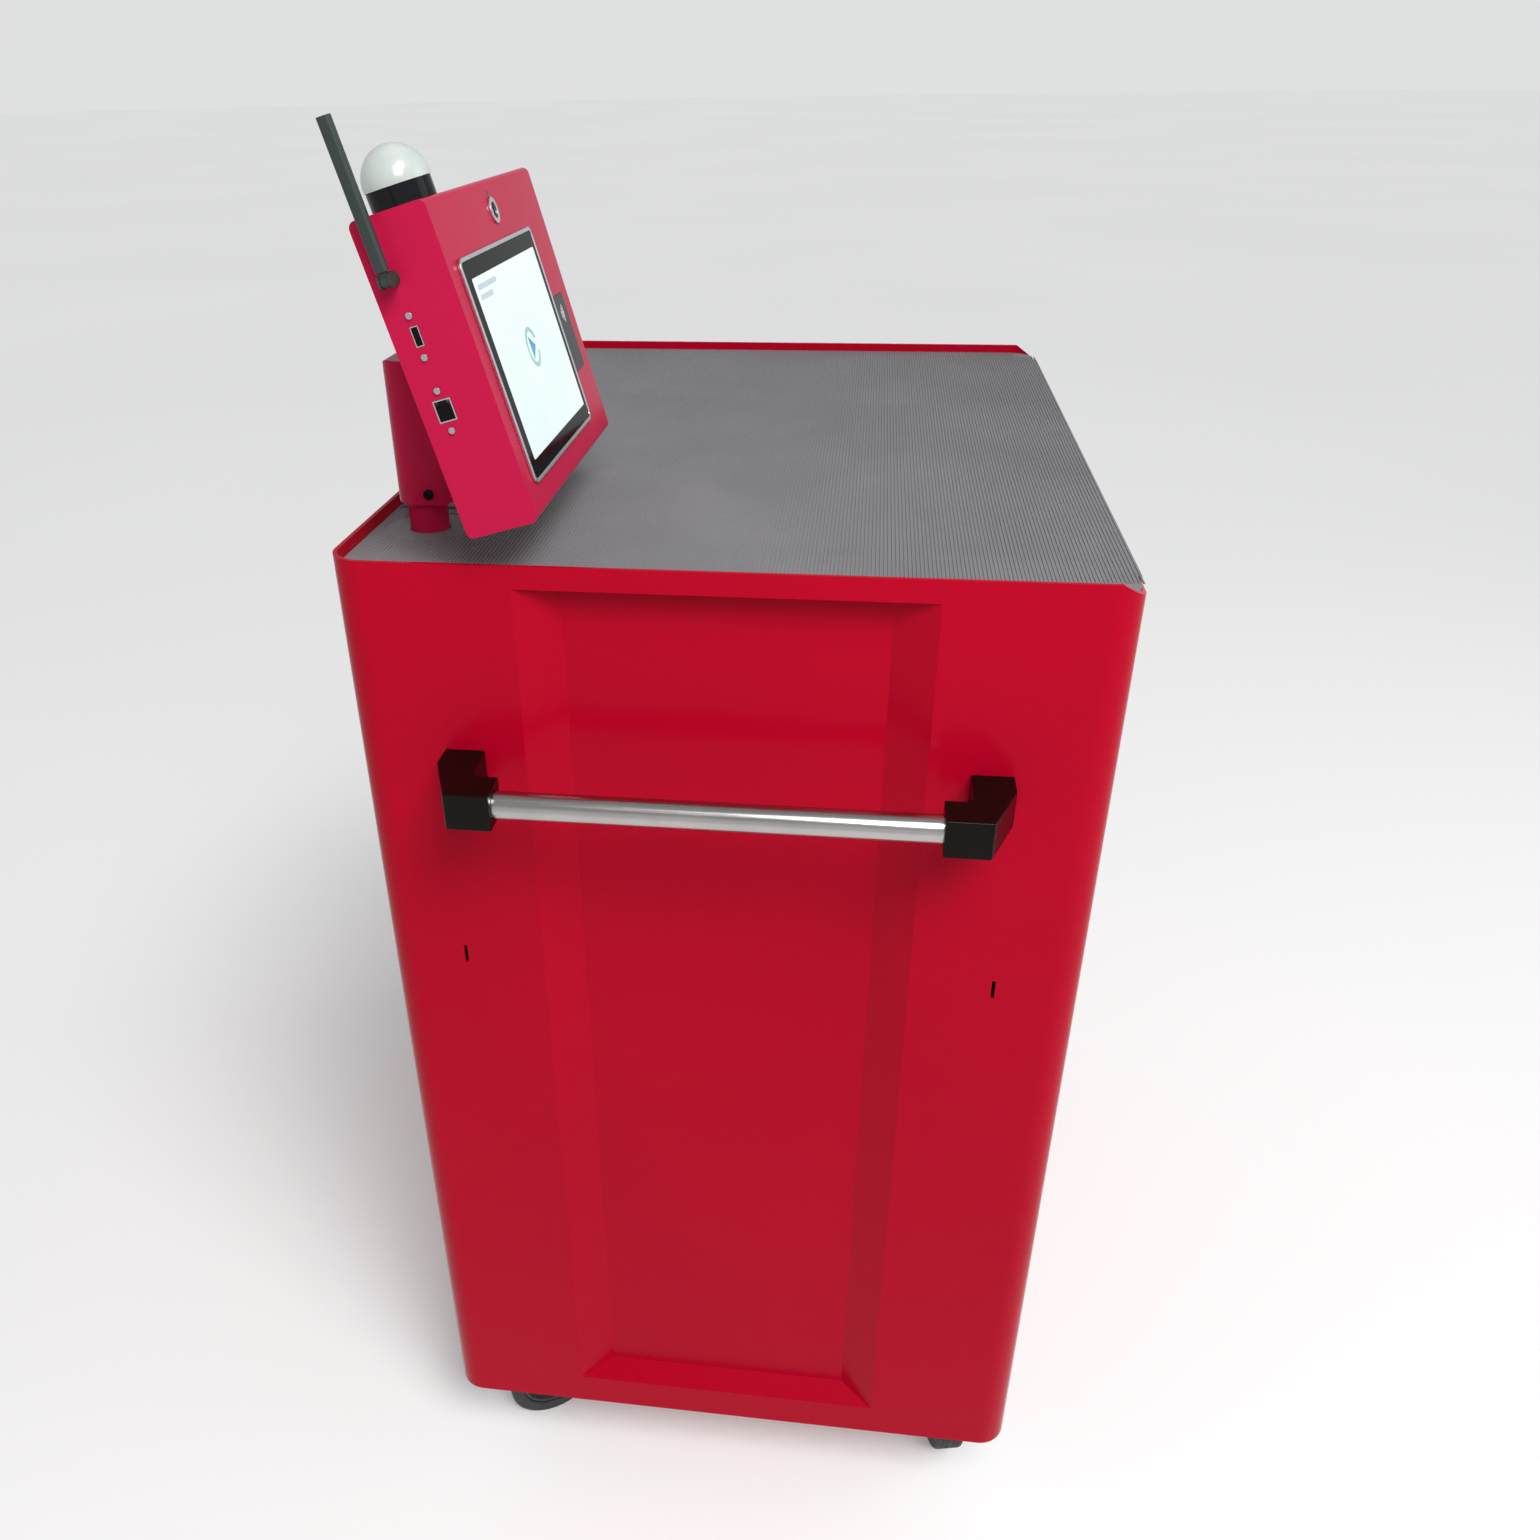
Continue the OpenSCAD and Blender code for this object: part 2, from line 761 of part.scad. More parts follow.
// Brake pedal: a hub with a stub at each end, and a foot plate that reaches out over the wheel
module brake_pedal() {
    color(black) translate([brake_x, 0, brake_z]) {
        rotate([90, 0, 0]) cylinder(r = 2 * brake_r, h = pedal_w, center = true);
        rotate([90, 0, 0]) cylinder(r = brake_r, h = 2 * (fork_in + fork_t), center = true);
        rotate([0, -8, 0]) {
            translate([0, -pedal_w / 2 + 1, -1]) cube([pedal_l, pedal_w - 2, pedal_t]);
            translate([pedal_l - 22, -pedal_w / 2 - 6, -1]) cube([22, pedal_w + 12, pedal_t]);
        }
    }
}

module rigid_forks() {
    color(steel) for (y = [-1, 1]) at_caster(1, y, 0) {
        top_plate();
        difference() {
            for (k = [-fork_in - fork_t, fork_in]) translate([0, k + fork_t, 0])
                rotate([90, 0, 0]) linear_extrude(fork_t) rigid_leg();
            translate([0, 0, wheel_d / 2]) rotate([90, 0, 0])
                cylinder(r = axle_r + run, h = 2 * fork_in + 4 * fork_t, center = true);
        }
    }
}

module rigid_leg() {
    axle = wheel_d / 2;
    polygon([
        [-28, caster_h - plate_t], [28, caster_h - plate_t], [28, crown_low], [boss_r, axle],
        [-boss_r, axle], [-28, crown_low]
    ]);
    translate([0, axle]) circle(boss_r);
}

// At rest the rear swivel caster trails forward and the front one trails inward
turn_rear = -60;
turn_front = 12;
module swivel_fork_rear() { at_caster(-1, 1, turn_rear) swivel_fork(); }
module swivel_fork_front() { at_caster(-1, -1, turn_front) swivel_fork(); }
module brake_pedal_rear() { at_caster(-1, 1, turn_rear) brake_pedal(); }
module brake_pedal_front() { at_caster(-1, -1, turn_front) brake_pedal(); }
module swivel_axle_rear() { color(steel) at_caster(-1, 1, turn_rear) axle(trail); }
module swivel_axle_front() { color(steel) at_caster(-1, -1, turn_front) axle(trail); }
module swivel_wheel_rear() { at_caster(-1, 1, turn_rear) wheel(trail); }
module swivel_wheel_front() { at_caster(-1, -1, turn_front) wheel(trail); }
module rigid_axles() { color(steel) for (y = [-1, 1]) at_caster(1, y, 0) axle(0); }
module rigid_wheel_rear() { at_caster(1, 1, 0) wheel(0); }
module rigid_wheel_front() { at_caster(1, -1, 0) wheel(0); }

// ---------- terminal ----------

// Local frame of the terminal: X across from the left, Y back from the front face, Z up its face
module at_terminal() {
    translate([case_x, case_y, case_z]) rotate([-tilt, 0, 0]) children();
}

// A rounded plate on the front face: lower left corner, size, depth range
module front_plate(at, size, r, k0, k1) {
    translate([at[0] + size[0] / 2, k1, at[1] + size[1] / 2])
        rotate([90, 0, 0]) linear_extrude(k1 - k0) plan(size[0], size[1], r);
}

// A round piece along the terminal's depth
module front_round(at, r, k0, k1) {
    translate([at[0], k1, at[1]]) rotate([90, 0, 0]) cylinder(r = r, h = k1 - k0);
}

// A round piece across the terminal's side
module side_round(at, r, u0, u1) {
    translate([u0, at[0], at[1]]) rotate([0, 90, 0]) cylinder(r = r, h = u1 - u0);
}

// A box on the terminal's side about a point
module side_box(at, size, u0, u1) {
    translate([u0, at[0] - size[0] / 2, at[1] - size[1] / 2]) cube([u1 - u0, size[0], size[1]]);
}

port_screws_at = [
    [port_k, usb_z + port_screw], [port_k, usb_z - port_screw],
    [port_k, lan_z + port_screw], [port_k, lan_z - port_screw]
];
glass_at = screen_in + [frame_t, frame_t];
glass_s = [screen_w - 2 * frame_t, screen_h - 2 * frame_t];
mount_u = [case_w / 2 - 14, case_w / 2 + 14];
mount_z = [30, 72];

module terminal_case() {
    color(red) at_terminal() difference() {
        translate([0, case_d / 2, case_h / 2]) rotate([90, 0, 90])
            linear_extrude(case_w) plan(case_d, case_h, case_r);
        block([case_t, case_t, case_t], [case_w - case_t, case_d + over, case_h - case_t]);
        front_plate(glass_at, glass_s, frame_r - frame_t, -over, case_t + over);
        front_round(camera_at, camera_r + seam, -over, case_t + over);
        front_round(camera_at + [0, 11], 2.2, -over, case_t + over);
        front_plate(reader_at, [reader_w, reader_h], 3, -over, case_t + over);
        side_box([port_k, usb_z], usb_s + [seam, seam], -over, case_t + over);
        side_box([port_k, lan_z], lan_s + [seam, seam], -over, case_t + over);
        for (p = port_screws_at) side_round(p, 1.5, -over, case_t + over);
        side_round(antenna_at, 3 + run, -over, case_t + over);
        translate([beacon_at[0], beacon_at[1], case_h - case_t - over])
            cylinder(r = 8, h = case_t + 2 * over);
    }
}

module terminal_back() {
    color(red) at_terminal() {
        difference() {
            block(
                [case_t + seam, case_d - 2, case_t + seam],
                [case_w - case_t - seam, case_d, case_h - case_t - seam]
            );
            for (u = mount_u, z = mount_z) front_round([u, z], 2.2, case_d - 3, case_d + over);
        }
        for (u = board_u, z = board_z) front_round([u, z], 4, board_k + board_t, case_d - 2);
        for (i = [0:7])
            block(
                [case_w * 0.68 + i * 7, case_d, case_h * 0.6],
                [case_w * 0.68 + i * 7 + 3, case_d + 1, case_h * 0.82]
            );
    }
}

module screen_frame() {
    color(steel) at_terminal() difference() {
        front_plate(screen_in, [screen_w, screen_h], frame_r, -frame_out, 0);
        front_plate(glass_at, glass_s, frame_r - frame_t, -frame_out - over, over);
    }
}

module display_panel() {
    color(black) at_terminal() {
        front_plate(
            glass_at + [0.2, 0.2], glass_s - [0.4, 0.4], frame_r - frame_t - 0.2,
            -frame_out + 0.6, 4
        );
        front_plate(glass_at + [4, 4], glass_s - [8, 8], 1, 4, 11);
    }
}

board_u = [40, case_w - 60];
board_z = [45, case_h - 60];
module main_board() {
    color([0.05, 0.35, 0.15]) at_terminal()
        block([28, board_k, 32], [case_w - 48, board_k + board_t, case_h - 46]);
    color(black) at_terminal() {
        block([100, board_k + board_t, 80], [130, board_k + board_t + 3, 110]);
        block([150, board_k + board_t, 90], [176, board_k + board_t + 2, 104]);
        block([60, board_k + board_t, 60], [80, board_k + board_t + 9, 74]);
    }
}

module camera_module() {
    color(steel) at_terminal() {
        difference() {
            front_round(camera_at, camera_r + 2, -1.4, 0);
            front_round(camera_at, camera_r - 1.5, -1.4 - over, over);
        }
        difference() {
            front_round(camera_at, camera_r, 0, 12);
            front_round(camera_at, camera_r - 1.5, -over, 3);
        }
        front_round(camera_at + [0, 11], 2, 0.4, 12);
        block([camera_at[0] - 12, 12, camera_at[1] - 9], [camera_at[0] + 12, 13.6, camera_at[1] + 14]);
    }
}

module reader_window() {
    color(black) at_terminal() {
        front_plate(reader_at + [0.2, 0.2], [reader_w - 0.4, reader_h - 0.4], 2.8, -0.4, case_t);
        block(
            [reader_at[0] - 4, case_t, reader_at[1] - 3],
            [reader_at[0] + reader_w + 2, case_t + 1.6, reader_at[1] + reader_h + 3]
        );
    }
}

module side_ports() {
    at_terminal() {
        color(steel) difference() {
            side_box([port_k, usb_z], usb_s, -0.4, 14);
            side_box([port_k, usb_z], usb_s - [1.2, 1.2], -over, 12);
        }
        color([0.9, 0.9, 0.9]) side_box([port_k - 1, usb_z], [1.8, usb_s[1] - 2.4], 1, 13);
        color(steel) difference() {
            side_box([port_k, lan_z], lan_s, -0.4, 18);
            side_box([port_k, lan_z], lan_s - [1.6, 1.6], -over, 14);
        }
    }
}

module port_screws() {
    color(steel) at_terminal() for (p = port_screws_at) {
        side_round(p, 1.4, -0.2, case_t + 3);
        side_round(p, 2.3, -1.6, 0);
    }
}

// Antenna: a threaded stem and a fork that turns, and a paddle that folds on the fork's pin
module antenna_base() {
    color(black) at_terminal() {
        side_round(antenna_at, 3, fold_u + ear_r, case_t + 5);
        side_round(antenna_at, 5, -3, -free);
        side_round(antenna_at, 5, case_t + free, case_t + 3);
        difference() {
            union() {
                side_round(antenna_at, ear_r, fold_u + ear_r - 0.5, -3);
                for (s = [-1, 1]) translate([fold_u, antenna_at[0] + s * 3.75, antenna_at[1]])
                    rotate([90, 0, 0]) cylinder(r = ear_r, h = 1.5, center = true);
                for (s = [-1, 1]) translate([fold_u, antenna_at[0] + s * 3.75 - 0.75, antenna_at[1] - 3])
                    cube([ear_r + 1, 1.5, 6]);
            }
            translate([fold_u, antenna_at[0], antenna_at[1]]) rotate([90, 0, 0])
                cylinder(r = ear_r, h = 6, center = true);
        }
        translate([fold_u, antenna_at[0], antenna_at[1]]) rotate([90, 0, 0])
            cylinder(r = 1.2, h = 9, center = true);
    }
}

module antenna_paddle() {
    color([0.2, 0.26, 0.25]) at_terminal() translate([fold_u, antenna_at[0], antenna_at[1]]) {
        difference() {
            rotate([90, 0, 0]) cylinder(r = 3.6, h = 5.4, center = true);
            rotate([90, 0, 0]) cylinder(r = 1.2 + run, h = 8, center = true);
        }
        translate([-1.6, -2.7, 3]) cube([3.2, 5.4, 4]);
        translate([0, 0, 6]) linear_extrude(antenna_l - 6) plan(antenna_t, antenna_w, 2.5);
    }
}

module beacon_base() {
    color(black) at_terminal() translate([beacon_at[0], beacon_at[1], 0]) {
        translate([0, 0, case_h]) cylinder(r = beacon_r, h = beacon_h);
        translate([0, 0, case_h - case_t - 6]) cylinder(r = 7.8, h = case_t + 7);
        translate([0, 0, case_h + beacon_h]) cylinder(r = beacon_r - 6, h = 4);
    }
}

module beacon_dome() {
    color([0.92, 0.93, 0.92]) at_terminal()
        translate([beacon_at[0], beacon_at[1], case_h + beacon_h + dome_up]) difference() {
            sphere(r = dome_r);
            difference() {
                sphere(r = dome_r - dome_t);
                translate([0, 0, dome_seat - dome_up - dome_r]) difference() {
                    cube([3 * dome_r, 3 * dome_r, 2 * dome_r], center = true);
                    cylinder(r = beacon_r - 5, h = 3 * dome_r, center = true);
                }
            }
            translate([0, 0, -dome_up - dome_r]) cube([3 * dome_r, 3 * dome_r, 2 * dome_r], center = true);
        }
}

// Side view of the wedge bracket as [y, z]; its hollow is thinner by t and open at the front
module wedge_profile(t) {
    rear = py + collar_r - t;
    top = bracket_top - t;
    low = back_z + 14 + 2 * t;
    ahead = t > 0 ? over : 0;
    difference() {
        polygon([
            [rear, collar_z], [rear, top], [back_at(top) - ahead, top], [back_at(low) - ahead, low],
            [py - collar_r + t, collar_z]
        ]);
        difference() {
            translate([rear - bracket_r, top - bracket_r]) square(bracket_r + over);
            translate([rear - bracket_r, top - bracket_r]) circle(bracket_r);
        }
    }
}

// Plan of the wedge bracket: round behind the post, straight beside it
module wedge_plan(t) {
    r = collar_r - t;
    translate([px, py]) circle(r + bracket_ease);
    translate([px - r, py - 1.2 * case_reach]) square([2 * r, 1.2 * case_reach]);
}

module wedge_solid(t) {
    intersection() {
        translate([px - 2 * collar_r, 0, 0])
            rotate([90, 0, 90]) linear_extrude(4 * collar_r) wedge_profile(t);
        translate([0, 0, collar_z]) linear_extrude(bracket_h) wedge_plan(t);
    }
}

lock_screw_y = py - 9;
lock_screw_z = collar_z + 9;
lock_screw_r = 2.5;
module wedge_bracket() {
    web_top = post_top + bracket_wall;
    color(red) difference() {
        wedge_solid(0);
        intersection() {
            wedge_solid(bracket_wall);
            union() {
                wedge_slab(collar_z + collar_h, post_top);
                wedge_slab(web_top, bracket_top);
            }
        }
        translate([px, py, collar_z - over]) cylinder(r = post_r + run, h = post_top - collar_z + over);
        translate([px, py, post_top - over])
            cylinder(r = post_r - post_wall, h = bracket_wall + 2 * over);
        translate([px - 2 * collar_r, lock_screw_y, lock_screw_z]) rotate([0, 90, 0])
            cylinder(r = lock_screw_r + run, h = 2 * collar_r);
    }
}

// A level slab wide enough to cut the wedge bracket's hollow
module wedge_slab(low, high) {
    block([px - 2 * collar_r, py - 2 * case_reach, low], [px + 2 * collar_r, py + 2 * collar_r, high]);
}

module swivel_post() {
    flange_z = z_pan - sheet - post_flange_t;
    color(red) translate([px, py, 0]) difference() {
        union() {
            translate([0, 0, flange_z]) cylinder(r = post_r, h = post_top - flange_z);
            translate([0, 0, flange_z]) cylinder(r = post_flange_r, h = post_flange_t);
        }
        translate([0, 0, flange_z - over])
            cylinder(r = post_r - post_wall, h = post_top - flange_z + 2 * over);
    }
}

module swivel_lock_screw() {
    near = py - lock_screw_y - lock_screw_r;
    reach = sqrt(post_r * post_r - near * near) + run;
    color(black) translate([px, lock_screw_y, lock_screw_z]) rotate([0, -90, 0]) difference() {
        union() {
            translate([0, 0, reach]) cylinder(r = lock_screw_r, h = collar_r - reach + over);
            translate([0, 0, collar_r]) cylinder(r = lock_screw_r * 1.6, h = 2.4);
        }
        translate([0, 0, collar_r + 1]) cylinder(r = lock_screw_r * 0.7, h = 3, $fn = 6);
    }
}

handle_side_panel();
plain_side_panel();
back_panel();
base_pan();
top_pan();
work_mat();
runner_uprights();
cabinet_slides();
handle_bar();
handle_bracket_rear();
handle_bracket_front();
m8_screws();
swivel_plates();
swivel_fork_rear();
swivel_fork_front();
brake_pedal_rear();
brake_pedal_front();
swivel_axle_rear();
swivel_axle_front();
swivel_wheel_rear();
swivel_wheel_front();
rigid_forks();
rigid_axles();
rigid_wheel_rear();
rigid_wheel_front();
drawer(1);  // drawer_1
drawer(2);  // drawer_2
drawer(3);  // drawer_3
drawer(4);  // drawer_4
drawer(5);  // drawer_5
drawer_pull(1);  // drawer_pull_1
drawer_pull(2);  // drawer_pull_2
drawer_pull(3);  // drawer_pull_3
drawer_pull(4);  // drawer_pull_4
drawer_pull(5);  // drawer_pull_5
drawer_slides(1);  // drawer_slides_1
drawer_slides(2);  // drawer_slides_2
drawer_slides(3);  // drawer_slides_3
drawer_slides(4);  // drawer_slides_4
drawer_slides(5);  // drawer_slides_5
lock_bar();
lock_actuator();
battery_box();
power_inlet();
terminal_case();
terminal_back();
screen_frame();
display_panel();
main_board();
camera_module();
reader_window();
side_ports();
port_screws();
antenna_base();
antenna_paddle();
beacon_base();
beacon_dome();
wedge_bracket();
swivel_post();
swivel_lock_screw();
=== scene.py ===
"""Looks of a wheeled tool cabinet with a touch terminal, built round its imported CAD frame.

Metres, +Z up, drawer fronts on -Y, push handle at -X. Places come from the frame's own boxes.
"""

import json
import math

import bmesh
import bpy
from mathutils import Matrix, Vector


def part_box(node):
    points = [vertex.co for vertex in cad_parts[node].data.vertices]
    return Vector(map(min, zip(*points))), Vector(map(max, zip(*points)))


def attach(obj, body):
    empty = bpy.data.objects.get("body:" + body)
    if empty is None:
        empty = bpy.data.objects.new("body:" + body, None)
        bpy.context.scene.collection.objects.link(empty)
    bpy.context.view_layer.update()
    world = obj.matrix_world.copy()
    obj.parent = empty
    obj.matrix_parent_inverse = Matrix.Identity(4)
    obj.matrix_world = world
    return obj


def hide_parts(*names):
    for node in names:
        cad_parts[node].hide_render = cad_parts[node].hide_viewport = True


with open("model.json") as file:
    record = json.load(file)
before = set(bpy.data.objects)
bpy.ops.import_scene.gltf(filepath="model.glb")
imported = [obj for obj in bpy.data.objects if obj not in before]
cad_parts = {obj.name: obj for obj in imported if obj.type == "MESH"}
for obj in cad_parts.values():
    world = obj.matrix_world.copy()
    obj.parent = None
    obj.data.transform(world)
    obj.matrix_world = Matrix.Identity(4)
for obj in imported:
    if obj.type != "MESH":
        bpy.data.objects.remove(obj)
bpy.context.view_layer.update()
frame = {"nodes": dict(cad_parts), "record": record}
NODES = frame["nodes"]
RECORD = frame["record"]
SLOT_OF = {s["node"]: s["material_slot"] for s in RECORD["subparts"]}
BODY_OF = {n: b for b, names in RECORD["behaviour"]["bodies"].items() for n in names}
JOINTS = {j["name"]: j for j in RECORD["behaviour"]["joints"]}
DRAWERS = sum(name.startswith("drawer_pull_") for name in NODES)
MM = 0.001
TILT = math.radians(15.8)


# ---------- node graph helpers ----------

class Graph:
    """A material's node tree, with one short call per node."""

    def __init__(self, name):
        self.material = bpy.data.materials.new(name)
        self.material.use_nodes = True
        self.tree = self.material.node_tree
        self.tree.nodes.clear()
        self.output = self.add("ShaderNodeOutputMaterial")
        self.shader = self.add("ShaderNodeBsdfPrincipled")
        self.link(self.shader.outputs["BSDF"], self.output.inputs["Surface"])
        self.place = self.add("ShaderNodeTexCoord").outputs["Object"]

    def add(self, kind):
        return self.tree.nodes.new(kind)

    def link(self, source, target):
        self.tree.links.new(source, target)

    def stretch(self, scale):
        """Object coordinates times scale along X, Y and Z."""
        node = self.add("ShaderNodeMapping")
        node.inputs["Scale"].default_value = scale
        self.link(self.place, node.inputs["Vector"])
        return node.outputs["Vector"]

    def noise(self, scale, detail=3, rough=0.5, at=None):
        node = self.add("ShaderNodeTexNoise")
        node.inputs["Scale"].default_value = scale
        node.inputs["Detail"].default_value = detail
        node.inputs["Roughness"].default_value = rough
        self.link(at or self.place, node.inputs["Vector"])
        return node.outputs["Fac"]

    def ramp(self, source, *stops):
        """Stops are (position, value), where a value is a grey or a colour."""
        node = self.add("ShaderNodeValToRGB")
        while len(node.color_ramp.elements) < len(stops):
            node.color_ramp.elements.new(0.5)
        for element, (position, value) in zip(node.color_ramp.elements, stops):
            element.position = position
            grey = isinstance(value, (int, float))
            element.color = (value, value, value, 1) if grey else (*value, 1)
        self.link(source, node.inputs["Fac"])
        return node.outputs["Color"]

    def bump(self, height, strength, distance, after=None):
        node = self.add("ShaderNodeBump")
        node.inputs["Strength"].default_value = strength
        node.inputs["Distance"].default_value = distance
        self.link(height, node.inputs["Height"])
        if after is not None:
            self.link(after, node.inputs["Normal"])
        return node.outputs["Normal"]

    def finish(self, color=None, rough=None, normal=None, **fixed):
        """Wires the varied inputs and sets the constant ones on the shader's own sockets."""
        inputs = self.shader.inputs
        for name, source in (("Base Color", color), ("Roughness", rough), ("Normal", normal)):
            if source is not None:
                self.link(source, inputs[name])
        for name, value in fixed.items():
            inputs[name.replace("_", " ")].default_value = value
        return self.material


def shade(color, factor):
    return tuple(min(1.0, c * factor) for c in color)


# ---------- materials ----------

RED = (0.375, 0.0010, 0.015)
# A pinker copy of the red paint with a painted sheen: the pink reflection of the side light on the terminal
# and its mount is put into the base colour.
SHEEN_PINK_RED = (0.42, 0.008, 0.048)


def gloss_paint(name, tone):
    """Gloss powder coat: a fine orange peel, faint cloudiness and wiped marks in the gloss."""
    g = Graph(name)
    cloud = g.noise(3.0, 3)
    marks = g.noise(7, 6, 0.7, g.stretch((1, 1, 0.3)))
    color = g.ramp(cloud, (0.3, shade(tone, 0.95)), (0.7, shade(tone, 1.03)))
    rough = g.ramp(marks, (0.35, 0.15), (0.65, 0.24))
    normal = g.bump(g.noise(9, 2), 0.05, 0.004)
    normal = g.bump(g.noise(420, 2), 0.04, 0.0004, normal)
    return g.finish(color, rough, normal, Specular_IOR_Level=0.05)


def mat_rubber():
    g = Graph("mat_rubber")
    cloud = g.noise(9, 6, 0.65)
    color = g.ramp(cloud, (0.3, (0.172, 0.168, 0.176)), (0.72, (0.208, 0.203, 0.212)))
    rough = g.ramp(cloud, (0.3, 0.52), (0.7, 0.62))
    return g.finish(color, rough, g.bump(g.noise(900), 0.25, 0.0003), Specular_IOR_Level=0.30)


def brushed(name, color, streak_axis, rough_low, rough_high, streak=700):
    """Bare metal with fine streaks along one axis."""
    g = Graph(name)
    scale = [streak, streak, streak]
    scale[streak_axis] = 6
    lines = g.noise(1, 4, 0.6, g.stretch(scale))
    tint = g.ramp(g.noise(30, 4), (0.3, shade(color, 0.88)), (0.7, color))
    rough = g.ramp(lines, (0.3, rough_low), (0.7, rough_high))
    return g.finish(tint, rough, g.bump(lines, 0.08, 0.0002), Metallic=1.0)


def zinc():
    """Zinc plate: a faint spangle and dull patches."""
    g = Graph("zinc_steel")
    cells = g.add("ShaderNodeTexVoronoi")
    cells.inputs["Scale"].default_value = 160
    g.link(g.place, cells.inputs["Vector"])
    spangle = g.ramp(cells.outputs["Distance"], (0.0, (0.48, 0.49, 0.52)), (1.0, (0.62, 0.63, 0.65)))
    rough = g.ramp(g.noise(40, 4), (0.3, 0.30), (0.7, 0.46))
    return g.finish(spangle, rough, g.bump(g.noise(300), 0.06, 0.0003), Metallic=1.0)


def plastic(name, color, rough_low, rough_high, grain_scale, grain_depth, **fixed):
    """Moulded plastic, rubber or glass with a fine grain and a little unevenness."""
    g = Graph(name)
    tint = g.ramp(g.noise(25, 4), (0.3, shade(color, 0.85)), (0.7, shade(color, 1.15)))
    rough = g.ramp(g.noise(60, 5, 0.6), (0.3, rough_low), (0.7, rough_high))
    return g.finish(tint, rough, g.bump(g.noise(grain_scale, 2), 0.3, grain_depth), **fixed)


def glowing(name, low, high, strength, scale):
    """A lit surface whose colour drifts from low to high."""
    g = Graph(name)
    drift = g.noise(scale, 2)
    g.link(g.ramp(drift, (0.25, low), (0.75, high)), g.shader.inputs["Emission Color"])
    base = g.ramp(drift, (0.25, shade(low, 0.1)), (0.75, shade(high, 0.1)))
    return g.finish(base, None, None, Emission_Strength=strength, Roughness=0.15, Specular_IOR_Level=0.2)


MATERIALS = {
    "red_paint": gloss_paint("red_paint", RED),
    "red_terminal_sheen": gloss_paint("red_terminal_sheen", SHEEN_PINK_RED),
    "mat_rubber": mat_rubber(),
    "zinc_steel": zinc(),
    "bright_steel": brushed("bright_steel", (0.50, 0.50, 0.52), 2, 0.20, 0.34),
    "chrome": brushed("chrome", (0.50, 0.48, 0.47), 1, 0.16, 0.30, 900),
    "silver_trim": brushed("silver_trim", (0.62, 0.62, 0.64), 0, 0.22, 0.34),
    "aluminium": brushed("aluminium", (0.50, 0.51, 0.53), 0, 0.26, 0.40),
    "black_plastic": plastic(
        "black_plastic", (0.0035, 0.0018, 0.0016), 0.18, 0.30, 600, 0.0001, Specular_IOR_Level=0.12
    ),
    "gloss_black": plastic(
        "gloss_black", (0.010, 0.011, 0.013), 0.08, 0.16, 90, 0.00005, IOR=1.25, Specular_IOR_Level=0.3
    ),
    "screen": plastic(
        "screen", (0.003, 0.004, 0.005), 0.05, 0.09, 60, 0.00002, IOR=1.2, Specular_IOR_Level=0.2
    ),
    "board": plastic("board", (0.01, 0.10, 0.035), 0.30, 0.45, 500, 0.0002),
    "antenna_plastic": plastic(
        "antenna_plastic", (0.024, 0.034, 0.031), 0.38, 0.52, 700, 0.0003, Specular_IOR_Level=0.3
    ),
    "dome": plastic(
        "dome", (0.48, 0.525, 0.50), 0.14, 0.24, 200, 0.0001,
        Subsurface_Weight=0.2, Subsurface_Scale=0.01
    ),
    "wheel_rubber": plastic("wheel_rubber", (0.024, 0.024, 0.025), 0.5, 0.7, 800, 0.0004),
    "hub_plastic": plastic("hub_plastic", (0.055, 0.055, 0.058), 0.35, 0.5, 500, 0.0003),
    "screen_light": glowing("screen_light", (0.72, 0.87, 0.89), (0.86, 0.94, 0.94), 0.88, 9),
    "screen_soft": glowing("screen_soft", (0.52, 0.64, 0.72), (0.60, 0.70, 0.76), 0.8, 60),
    "icon_green": glowing("icon_green", (0.16, 0.50, 0.42), (0.45, 0.72, 0.68), 0.8, 90),
    "icon_blue": glowing("icon_blue", (0.02, 0.26, 0.52), (0.05, 0.40, 0.64), 0.8, 90),
    "white_mark": plastic("white_mark", (0.62, 0.64, 0.64), 0.4, 0.5, 400, 0.0001),
    "lens": plastic("lens", (0.004, 0.005, 0.010), 0.02, 0.05, 30, 0.00001, Specular_IOR_Level=0.5),
}


# ---------- mesh helpers ----------

def piece(name, mesh, body, slot, material=None, replaces=()):
    """Puts a mesh into the scene as a piece of the object."""
    obj = bpy.data.objects.new(name, mesh)
    bpy.context.collection.objects.link(obj)
    mesh.materials.clear()
    mesh.materials.append(MATERIALS[material or slot])
    if replaces:
        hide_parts(*replaces)
    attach(obj, body)
    return obj


def to_mesh(bm, name):
    mesh = bpy.data.meshes.new(name)
    bmesh.ops.recalc_face_normals(bm, faces=bm.faces)
    bm.to_mesh(mesh)
    bm.free()
    return mesh


def welded(node):
    """A node's mesh with its points joined and its flat faces whole."""
    bm = bmesh.new()
    bm.from_mesh(NODES[node].data)
    bmesh.ops.remove_doubles(bm, verts=bm.verts, dist=2e-6)
    bmesh.ops.dissolve_limit(
        bm, angle_limit=math.radians(0.4), verts=bm.verts, edges=bm.edges, use_dissolve_boundaries=False
    )
    return bm


def soften(obj, width, angle=30, segments=2, clamp=True):
    """Rounds the sharp edges by a small radius and shades the rest smooth."""
    obj.data.shade_smooth()
    bevel = obj.modifiers.new("round", "BEVEL")
    bevel.width = width
    bevel.segments = segments
    bevel.limit_method = "ANGLE"
    bevel.use_clamp_overlap = clamp
    bevel.angle_limit = math.radians(angle)
    bevel.miter_outer = "MITER_ARC"
    weigh = obj.modifiers.new("flat_faces_first", "WEIGHTED_NORMAL")
    weigh.weight = 100
    weigh.keep_sharp = False
    return obj


